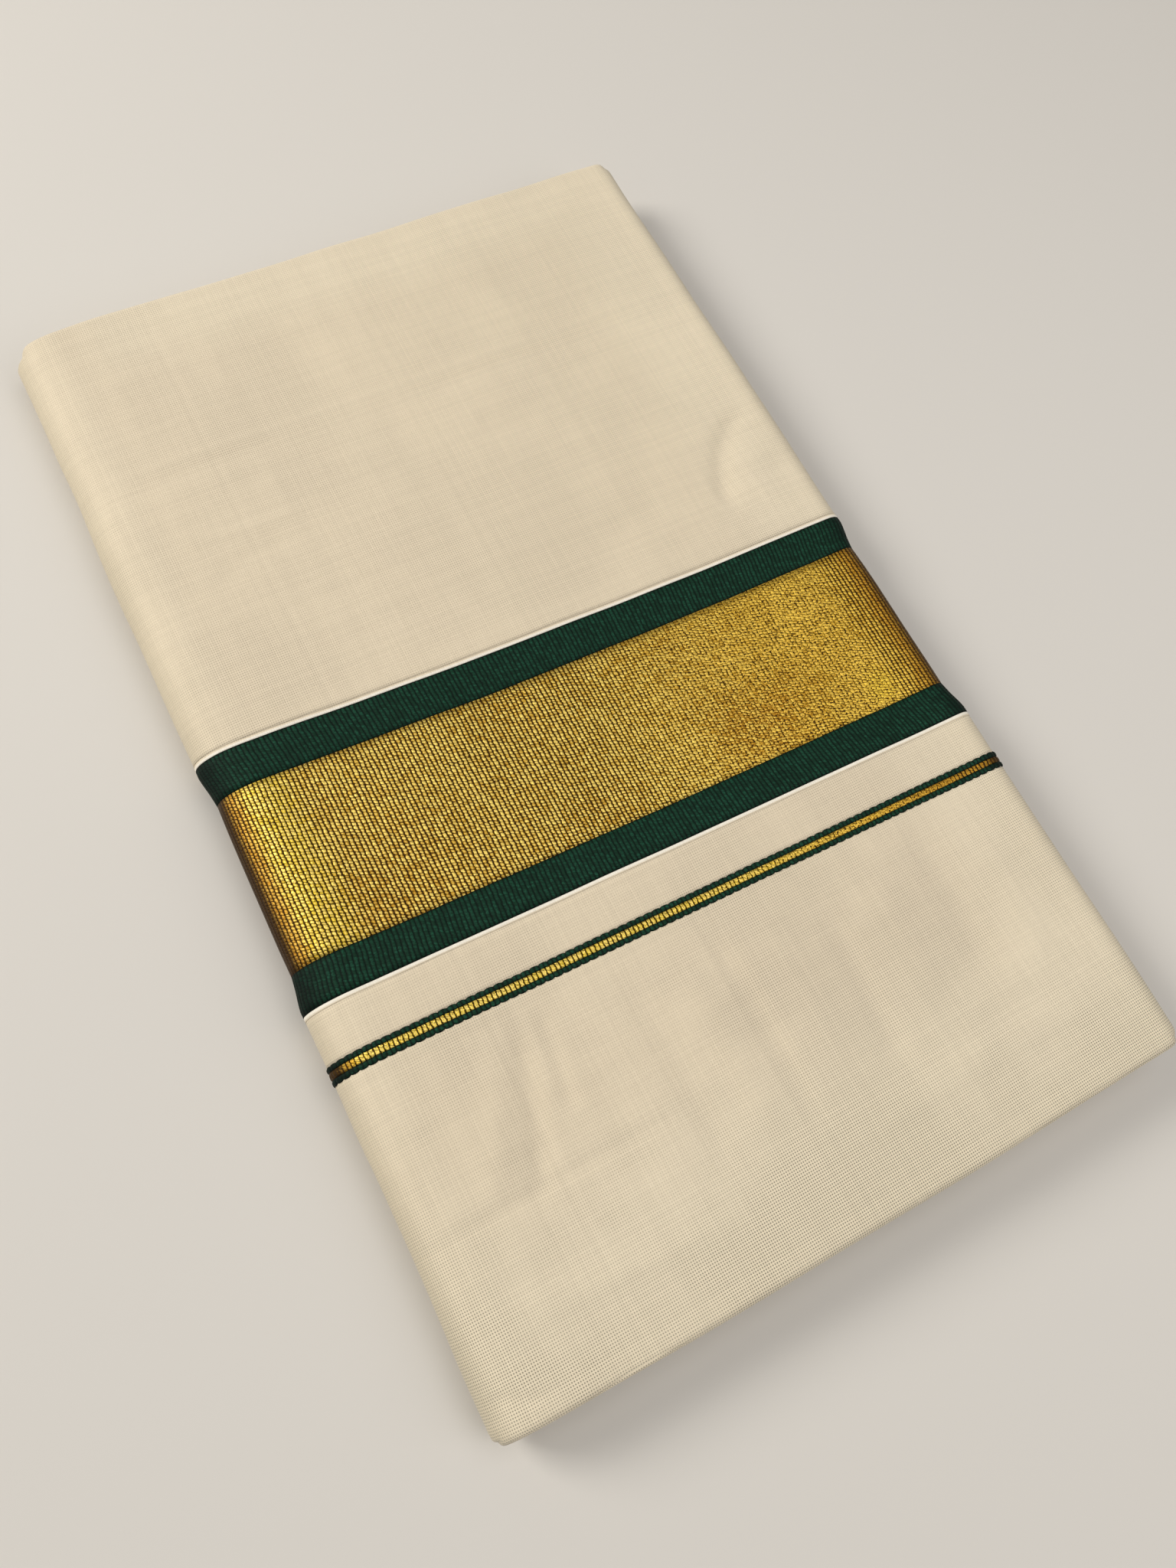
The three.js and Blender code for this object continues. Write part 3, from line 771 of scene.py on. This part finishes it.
def cream_cotton():
    """Unbleached cotton, a little open in patches and at the near fold."""
    material, nodes, shader = new_material("cream cotton")
    threads = nodes.threads()
    weave = place_group(nodes, plain_weave, Threads=threads)
    place = nodes.add("ShaderNodeTexCoord").outputs["Object"]
    x, y, _ = nodes.split(place)
    # in some patches the threads lie apart and the cloth looks tan, in others it is close
    patch = nodes.ease(nodes.noise(place, 17.0, 3.0, 0.55), 0.38, 0.64)
    near = nodes.ease(y, -0.075, -0.125)
    apart = nodes.math("MULTIPLY", patch, nodes.math("MULTIPLY_ADD", near, 0.30, 0.40))
    colour = nodes.mix(apart, CREAM_MIDDLE, CREAM_TAN)
    # painted light: the far end, the right-hand side, the left roll and the near field are painted
    # lighter, as light falls on them
    far_end = nodes.math("MULTIPLY", nodes.ease(y, 0.185, 0.215), nodes.ease(x, -0.125, -0.095))
    ends = nodes.math("MAXIMUM", far_end, nodes.ease(x, 0.080, 0.122))
    ends = nodes.math("MAXIMUM", ends, nodes.ease(x, -0.112, -0.124, 0.0, 0.4))
    colour = nodes.mix(nodes.math("MULTIPLY", ends, 0.7), colour, CREAM_LIT)
    colour = nodes.mix(nodes.ease(y, -0.135, -0.200, 0.0, 0.95), colour, CREAM_LIT)
    # painted shade: the rolls at the sides are painted a little greener and greyer
    side = nodes.math("ABSOLUTE", x)
    colour = nodes.mix(nodes.ease(side, 0.131, 0.141, 0.0, 0.5), colour, CREAM_SHADE)
    tone = nodes.math("MULTIPLY_ADD", weave["Tone"], 0.20, 0.90)
    shaded = nodes.mix(1.0, colour, nodes.join(tone, tone, tone), "MULTIPLY")
    openness = nodes.math("MULTIPLY_ADD", apart, 0.75, nodes.ease(y, -0.170, -0.220, 0.16, 0.80))
    hole = nodes.math("MULTIPLY", nodes.ease(weave["Holes"], 0.06, 0.50), openness)
    shaded = nodes.mix(hole, shaded, HOLE_COLOUR)
    flecks = nodes.add("ShaderNodeTexVoronoi", {"feature": "F1"}, Vector=place, Scale=26.0)
    chosen = nodes.math("GREATER_THAN", nodes.split(flecks.outputs["Color"])[0], 0.80)
    fleck = nodes.math("MULTIPLY", nodes.math("LESS_THAN", flecks.outputs["Distance"], 0.013), chosen)
    shaded = nodes.mix(nodes.math("MULTIPLY", fleck, 0.65), shaded, FLECK_COLOUR)
    nodes.feed(shader["Base Color"], shaded)
    nodes.feed(shader["Roughness"], 0.86)
    nodes.feed(shader["Sheen Weight"], 0.25)
    nodes.feed(shader["Sheen Roughness"], 0.6)
    nodes.feed(shader["Specular IOR Level"], 0.25)
    bump(nodes, shader, weave["Height"], 0.00018, 0.85)
    return material


def guard_line_cotton():
    """White beside the green, fading into the cream on its other side."""
    material, nodes, shader = new_material("white guard line")
    threads = nodes.threads()
    weave = place_group(nodes, plain_weave, Threads=threads, Along_Pitch=0.6)
    tone = nodes.math("MULTIPLY_ADD", weave["Tone"], 0.24, 0.88)
    y = nodes.split(nodes.add("ShaderNodeTexCoord").outputs["Object"])[1]
    far_one = nodes.math("GREATER_THAN", y, -0.03)
    from_green = nodes.math("ABSOLUTE", nodes.math("SUBTRACT", far_one, nodes.split(threads)[2]))
    colour = nodes.mix(nodes.ease(from_green, 0.45, 0.85), GUARD_WHITE, CREAM_MIDDLE)
    # painted shadow: beside the green the line is painted nearly black
    colour = nodes.mix(nodes.ease(from_green, 0.10, 0.0, 0.0, 0.8), colour, GREEN_EDGE_SHADOW)
    colour = nodes.mix(1.0, colour, nodes.join(tone, tone, tone), "MULTIPLY")
    nodes.feed(shader["Base Color"], colour)
    nodes.feed(shader["Roughness"], 0.8)
    nodes.feed(shader["Sheen Weight"], 0.2)
    bump(nodes, shader, weave["Height"], 0.00014, 0.7)
    return material


def green_ribs(name, shaded_edges):
    """Dense green ribs with small painted glints and painted shade in their grooves. Near its edges
    the stripe is painted almost black, as shadow, and on the rolls it is painted darker, as shade.
    """
    material, nodes, shader = new_material(name)
    threads = nodes.threads()
    ribs = place_group(nodes, ribbed_threads, Threads=threads)
    share = nodes.split(threads)[2]
    # painted shade in the grooves between the crowns, and painted highlights as glints on the crowns
    body = nodes.mix(ribs["Crown"], GREEN_DARK, GREEN_MIDDLE)
    glint = nodes.math("MULTIPLY_ADD", ribs["Floats"], 0.7, 0.3)
    glint = nodes.math("MULTIPLY", glint, nodes.math("POWER", ribs["Crown"], 1.3))
    glint = nodes.math("MULTIPLY", glint, nodes.math("MULTIPLY_ADD", ribs["Random"], 0.65, 0.08))
    glint = nodes.math("MULTIPLY", glint, nodes.math("MULTIPLY_ADD", ribs["Specks"], 0.8, 0.2))
    colour = nodes.mix(glint, body, GREEN_GLINT)
    # painted shadow: near its edges the stripe is painted almost black
    from_edge = nodes.math("MINIMUM", share, nodes.math("SUBTRACT", 1.0, share))
    colour = nodes.mix(nodes.ease(from_edge, 0.0, shaded_edges, 0.92, 0.0), colour, GREEN_EDGE_SHADOW)
    # painted shade: on the rolls at the sides the stripe is painted darker
    x = nodes.split(nodes.add("ShaderNodeTexCoord").outputs["Object"])[0]
    roll = nodes.ease(nodes.math("ABSOLUTE", x), 0.126, 0.139, 0.0, 0.8)
    colour = nodes.mix(roll, colour, GREEN_DARK)
    nodes.feed(shader["Base Color"], colour)
    nodes.feed(shader["Roughness"], 0.6)
    nodes.feed(shader["Specular IOR Level"], 0.10)
    height = nodes.math("ADD", nodes.math("MULTIPLY", ribs["Floats"], 0.6),
                        nodes.math("MULTIPLY", ribs["Specks"], 0.4))
    bump(nodes, shader, height, 0.00016, 0.8)
    return material


def build_glow(nodes, given, wanted):
    """Painted light and shade: how much more, or less, light the band is painted as catching where it
    swells a little.
    """
    x, y, _ = nodes.split(given["Place"])
    total = nodes.math("MULTIPLY_ADD", nodes.noise(given["Place"], 30.0, 3.0, 0.6), 0.9, -0.45)
    for centre_x, centre_y, spread, strength in GLOWS:
        off_x = nodes.math("SUBTRACT", x, centre_x * METRES)
        off_y = nodes.math("SUBTRACT", y, centre_y * METRES)
        square = nodes.math("ADD", nodes.math("MULTIPLY", off_x, off_x),
                            nodes.math("MULTIPLY", off_y, off_y))
        fall = nodes.math("EXPONENT", nodes.math("MULTIPLY", square, -1 / (spread * METRES) ** 2))
        total = nodes.math("MULTIPLY_ADD", fall, strength, total)
    nodes.feed(wanted["Glow"], total)


band_glow = shader_group("band glow", [("Place", VECTOR, None)], [("Glow", FLOAT)], build_glow)


def gold_ribs(name, float_length, float_depth, lift, paleness, warm_from):
    """Ribs of metallic thread, painted as lit most along their crowns and painted darkest in their
    grooves, as shade.
    """
    material, nodes, shader = new_material(name)
    threads = nodes.threads()
    ribs = place_group(nodes, ribbed_threads, Threads=threads, Float_Length=float_length)
    place = nodes.add("ShaderNodeTexCoord").outputs["Object"]
    x, y, _ = nodes.split(place)
    glow = place_group(nodes, band_glow, Place=place)["Glow"]
    # painted shade and highlight: where the glow is low the gold is painted warmer, the side rolls are
    # painted burnt orange as shade, and a painted highlight of clear yellow lies just inside the left
    # one
    rolls = nodes.math("MAXIMUM", nodes.ease(x, -0.1245, -0.1335), nodes.ease(x, warm_from, 0.131))
    yellow = nodes.math("MULTIPLY", nodes.ease(x, -0.1320, -0.1265), nodes.ease(x, -0.104, -0.119))
    middle = nodes.mix(nodes.ease(glow, 0.25, -0.75), GOLD_MIDDLE, GOLD_WARM)
    middle = nodes.mix(nodes.ease(x, 0.09, 0.0, 0.0, paleness), middle, GOLD_YELLOW)
    middle = nodes.mix(nodes.math("MULTIPLY", yellow, 0.8), middle, GOLD_YELLOW)
    middle = nodes.mix(nodes.math("MULTIPLY", rolls, 0.8), middle, GOLD_WARM)
    # painted light and shade: each rib is painted bright along its crown and dark in its grooves, and
    # each float in it is painted to shine more or less
    cut = nodes.math("MULTIPLY_ADD", ribs["Floats"], float_depth, 1.0 - float_depth)
    body = nodes.math("MULTIPLY", ribs["Crown"], nodes.math("MULTIPLY_ADD", ribs["Specks"], 0.45, 0.6))
    # towards the right the band is painted with grains of glitter, painted highlights that half hide
    # its ribs
    grains = nodes.ease(nodes.noise(nodes.math_vector(threads, 1.45), 1.0, 2.0, 0.7), 0.32, 0.64)
    to_right = nodes.math("MULTIPLY", nodes.ease(x, -0.02, 0.07), nodes.ease(x, 0.122, 0.112))
    grainy = nodes.math("MULTIPLY_ADD", grains, 0.78, nodes.math("MULTIPLY", body, 0.42))
    body = nodes.blend(nodes.math("MULTIPLY", to_right, GRAIN_SHARE), body, grainy)
    colour = nodes.mix(nodes.ease(nodes.math("MULTIPLY", body, cut), 0.16, 0.62), GOLD_SHADE, middle)
    # painted highlight: the crowns' shine is painted in a paler gold, brighter where the glows are and
    # less on the rolls
    lit = nodes.math("MULTIPLY_ADD", glow, 0.40, 0.70 + lift)
    shine = nodes.math("MULTIPLY_ADD", ribs["Random"], 0.66, nodes.math("MULTIPLY", lit, 0.85))
    shine = nodes.math("MULTIPLY", shine, nodes.math("MULTIPLY", body, cut))
    highlight = nodes.ease(shine, 0.34, 0.86)
    highlight = nodes.math("MULTIPLY", highlight, nodes.math("MULTIPLY_ADD", rolls, -0.7, 1.0))
    bright = nodes.mix(nodes.ease(x, -0.02, 0.09, 0.0, 0.85), GOLD_BRIGHT, GOLD_AMBER)
    bright = nodes.mix(nodes.ease(glow, 0.45, 1.10, 0.0, 0.4), bright, GOLD_YELLOW)
    colour = nodes.mix(highlight, colour, bright)
    # painted shade: the outermost edges of both rolls are painted nearly to the shade colour
    edge_shade = nodes.math("MAXIMUM", nodes.ease(x, -0.1325, -0.1365, 0.0, 0.96),
                           nodes.ease(x, 0.1290, 0.1365, 0.0, 0.85))
    colour = nodes.mix(edge_shade, colour, GOLD_SHADE)
    nodes.feed(shader["Base Color"], colour)
    nodes.feed(shader["Metallic"], nodes.math("MULTIPLY_ADD", highlight, 0.1, 0.78))
    nodes.feed(shader["Roughness"], nodes.math("MULTIPLY_ADD", highlight, -0.10, 0.50))
    height = nodes.math("ADD", nodes.math("MULTIPLY", ribs["Floats"], 0.7),
                        nodes.math("MULTIPLY", ribs["Specks"], 0.4))
    bump(nodes, shader, height, 0.00026, 0.85)
    return material


# The pieces
cream = cream_cotton()
white = guard_line_cotton()
wide_green = green_ribs("green ribs", shaded_edges=0.05)
bead_green = green_ribs("green beads", shaded_edges=0.26)
wide_gold = gold_ribs("gold ribs", float_length=1.35, float_depth=0.60, lift=0.16, paleness=0.0,
                      warm_from=0.122)
# the narrow gold has the same painted highlights and painted shade as the wide band
narrow_gold_material = gold_ribs("narrow gold ribs", float_length=2.4, float_depth=0.25, lift=0.30,
                               paleness=0.9, warm_from=0.03)

rib_step = RIB_PITCH / STEPS_A_RIB


def scallop(along):
    return SCALLOP_REACH * ridge(along, SCALLOP_PITCH)


# Columns: name, far line, near line, rows, step across, relief, material and slot
STRETCHES = (
    ("field_far", "far_end", "guard_far", 104, FIELD_STEP, no_relief, cream, "cream_cotton"),
    ("guard_line_far", "guard_far", "green_far", 3, FIELD_STEP / 2, guard_relief, white,
     "white_guard_line"),
    ("green_stripe_far", "green_far", "gold_far", 6, rib_step, rib_relief, wide_green,
     "green_rib"),
    ("gold_band", "gold_far", "gold_near", 20, rib_step, rib_relief, wide_gold, "gold_rib"),
    ("green_stripe_near", "gold_near", "green_near", 6, rib_step, rib_relief, wide_green,
     "green_rib"),
    ("guard_line_near", "green_near", "guard_near", 3, FIELD_STEP / 2, guard_relief, white,
     "white_guard_line"),
    ("field_between", "guard_near", "narrow_far", 9, FIELD_STEP, no_relief, cream,
     "cream_cotton"),
    ("narrow_green_far", "narrow_far", "narrow_gold_far", 5, rib_step, bead_relief, bead_green,
     "green_rib"),
    ("narrow_gold", "narrow_gold_far", "narrow_gold_near", 5, rib_step, narrow_gold_relief,
     narrow_gold_material, "gold_rib"),
    ("narrow_green_near", "narrow_gold_near", "narrow_near", 5, rib_step, bead_relief,
     bead_green, "green_rib"),
    ("field_near", "narrow_near", "near_end", 62, FIELD_STEP, no_relief, cream, "cream_cotton"),
)
SCALLOPED = {
    "narrow_green_far": {"far_edge": scallop},
    "narrow_green_near": {"near_edge": scallop},
}
# Lines too narrow to be a cut of their own, each listed under the cream stretch beside it
GOES_WITH = {
    "field_far": ["guard_line_far"],
    "field_between": ["guard_line_near"],
    "field_near": ["narrow_green_far", "narrow_gold", "narrow_green_near"],
}


def finish_piece(piece, material):
    piece.data.materials.append(material)
    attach(piece, "root")


def build_stack():
    stack = stack_layers()
    layers = [
        selvedge_layers("lowest_selvedge", LOWEST_STACK_SELVEDGE_X, CLOTH_THICKNESS,
                        STACK_HEIGHT - 0.2),
        selvedge_layers("third_selvedge", THIRD_STACK_SELVEDGE_X, STACK_HEIGHT + 0.1,
                        MIDDLE_HEIGHT - 0.25),
    ]
    turns = [
        cloth_stretch("inner_turn_far", inner_path, "far_end", END_FOLD_Y - INNER_TURN_LENGTH,
                      INNER_TURN_ROWS, INNER_TURN_STEP, no_relief),
        cloth_stretch("inner_turn_near", inner_path, INNER_TURN_LENGTH - END_FOLD_Y, "near_end",
                      INNER_TURN_ROWS, INNER_TURN_STEP, no_relief),
    ]
    for piece in (stack, *layers, *turns):
        finish_piece(piece, cream)
    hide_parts("folded_layers")
    return stack


def build_outer_cloth():
    pieces, lengths = {}, {}
    for name, far, near, rows, step, relief, material, slot in STRETCHES:
        piece = cloth_stretch(f"{name}_cloth", outer_path, far, near, rows, step, relief,
                              **SCALLOPED.get(name, {}))
        finish_piece(piece, material)
        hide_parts(name)
        pieces[name] = piece
        middle = np.array([0.0])
        lengths[name] = float((weave_line(far, middle) - weave_line(near, middle))[0])
        if "end" in far or "end" in near:
            lengths[name] += END_FOLD_RADIUS * END_FOLD_TURN
    going_along = [name for names in GOES_WITH.values() for name in names]
    for name, piece in pieces.items():
        if name in going_along:
            continue


build_outer_cloth()
build_stack()


# The floor, the light and the camera
FLOOR_COLOUR = (0.70, 0.67, 0.62, 1)


def build_floor():
    bpy.ops.mesh.primitive_plane_add(size=6.0, location=(0, 0, -0.0002))
    floor = bpy.context.object
    floor.name = "floor"
    material, nodes, shader = new_material("pale floor")
    nodes.feed(shader["Base Color"], FLOOR_COLOUR)
    nodes.feed(shader["Roughness"], 0.9)
    floor.data.materials.append(material)


# Lights: name, place, target, size across and along, power and colour
LIGHTS = (
    ("key", (-1.25, 1.10, 1.15), (0.0, 0.0, 0.0), 0.8, 0.8, 28.0, (1.0, 0.97, 0.92)),
    ("fill", (0.70, -0.85, 0.95), (0.05, -0.08, 0.0), 1.0, 1.0, 4.6, (1.0, 0.98, 0.98)),
    ("top", (0.30, -0.1, 1.5), (0.0, 0.0, 0.0), 1.0, 1.0, 6.2, (1.0, 0.98, 0.97)),
)
WORLD_STRENGTH = 0.24


def aimed(place, target):
    return (Vector(target) - Vector(place)).to_track_quat("-Z", "Y")


def build_lights():
    for name, place, target, across, along, power, colour in LIGHTS:
        data = bpy.data.lights.new(name, "AREA")
        data.shape = "RECTANGLE"
        data.size, data.size_y = across, along
        data.energy = power
        data.color = colour
        light = bpy.data.objects.new(name, data)
        light.location = place
        light.rotation_mode = "QUATERNION"
        light.rotation_quaternion = aimed(place, target)
        bpy.context.scene.collection.objects.link(light)
    world = bpy.data.worlds.new("soft room")
    world.use_nodes = True
    world.node_tree.nodes["Background"].inputs[0].default_value = (1.0, 0.98, 0.95, 1)
    world.node_tree.nodes["Background"].inputs[1].default_value = WORLD_STRENGTH
    bpy.context.scene.world = world


CAMERA_PLACE = (-0.1260, -0.16355, 0.4356)
CAMERA_RIGHT = (0.8803, -0.4620, 0.1077)
CAMERA_UP = (0.4004, 0.8453, 0.3538)
SENSOR = 36.0
FOCAL_PIXELS = 1557.0
LONG_SIDE_PIXELS = 2048.0


def build_camera():
    data = bpy.data.cameras.new("camera")
    data.sensor_width = SENSOR
    data.lens = FOCAL_PIXELS * SENSOR / LONG_SIDE_PIXELS
    data.clip_start, data.clip_end = 0.01, 20.0
    camera = bpy.data.objects.new("camera", data)
    right = Vector(CAMERA_RIGHT).normalized()
    up = (Vector(CAMERA_UP) - right * right.dot(Vector(CAMERA_UP))).normalized()
    turn = Matrix((right, up, right.cross(up))).transposed()
    camera.rotation_mode = "QUATERNION"
    camera.rotation_quaternion = turn.to_quaternion()
    camera.location = CAMERA_PLACE
    bpy.context.scene.collection.objects.link(camera)
    bpy.context.scene.camera = camera


build_floor()
build_lights()
build_camera()
bpy.context.scene.view_settings.view_transform = "Standard"
